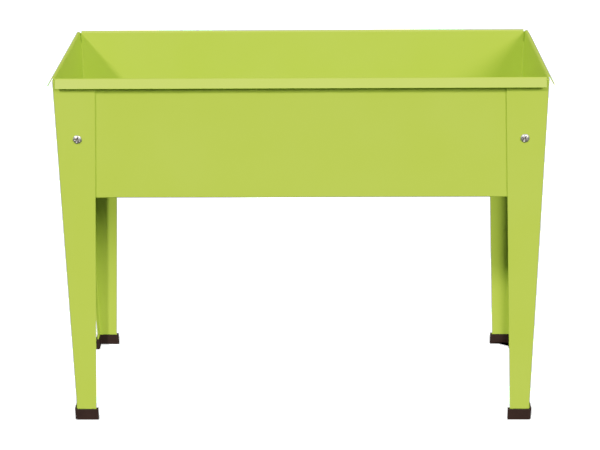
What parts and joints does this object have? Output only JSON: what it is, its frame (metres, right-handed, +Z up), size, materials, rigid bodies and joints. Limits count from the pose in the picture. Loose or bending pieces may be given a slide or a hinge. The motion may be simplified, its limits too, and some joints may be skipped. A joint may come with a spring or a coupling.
{
  "type": "raised planter",
  "caption": "Free-standing raised planter: a long open folded-sheet trough on tapered angle legs, which are bolted round its corners and stand in L-shaped foot caps.",
  "frame": {"origin": "centre of the floor area under the planter, on the plane its four feet stand on", "axes": "+X along the trough towards its right end, +Y from the front to the back, +Z up"},
  "size_m": [0.7676, 0.2876, 0.59],
  "materials": {
    "lime_powder_coat": "semi-gloss lime green powder coat on sheet steel, fine orange peel",
    "brown_plastic": "dark brown moulded plastic, satin, fine moulded texture",
    "zinc_plated_steel": "bright zinc-plated steel, smooth"
  },
  "bodies": {
    "root": {"trough": "lime_powder_coat", "leg_front_left": "lime_powder_coat", "leg_front_right": "lime_powder_coat", "leg_back_right": "lime_powder_coat", "leg_back_left": "lime_powder_coat", "foot_cap_front_left": "brown_plastic", "foot_cap_front_right": "brown_plastic", "foot_cap_back_right": "brown_plastic", "foot_cap_back_left": "brown_plastic", "bolt_front_left_face": "zinc_plated_steel", "bolt_front_left_side": "zinc_plated_steel", "bolt_front_right_face": "zinc_plated_steel", "bolt_front_right_side": "zinc_plated_steel", "bolt_back_right_face": "zinc_plated_steel", "bolt_back_right_side": "zinc_plated_steel", "bolt_back_left_face": "zinc_plated_steel", "bolt_back_left_side": "zinc_plated_steel", "washer_front_left_face": "zinc_plated_steel", "washer_front_left_side": "zinc_plated_steel", "washer_front_right_face": "zinc_plated_steel", "washer_front_right_side": "zinc_plated_steel", "washer_back_right_face": "zinc_plated_steel", "washer_back_right_side": "zinc_plated_steel", "washer_back_left_face": "zinc_plated_steel", "washer_back_left_side": "zinc_plated_steel", "nut_front_left_face": "zinc_plated_steel", "nut_front_left_side": "zinc_plated_steel", "nut_front_right_face": "zinc_plated_steel", "nut_front_right_side": "zinc_plated_steel", "nut_back_right_face": "zinc_plated_steel", "nut_back_right_side": "zinc_plated_steel", "nut_back_left_face": "zinc_plated_steel", "nut_back_left_side": "zinc_plated_steel"}
  },
  "joints": []
}
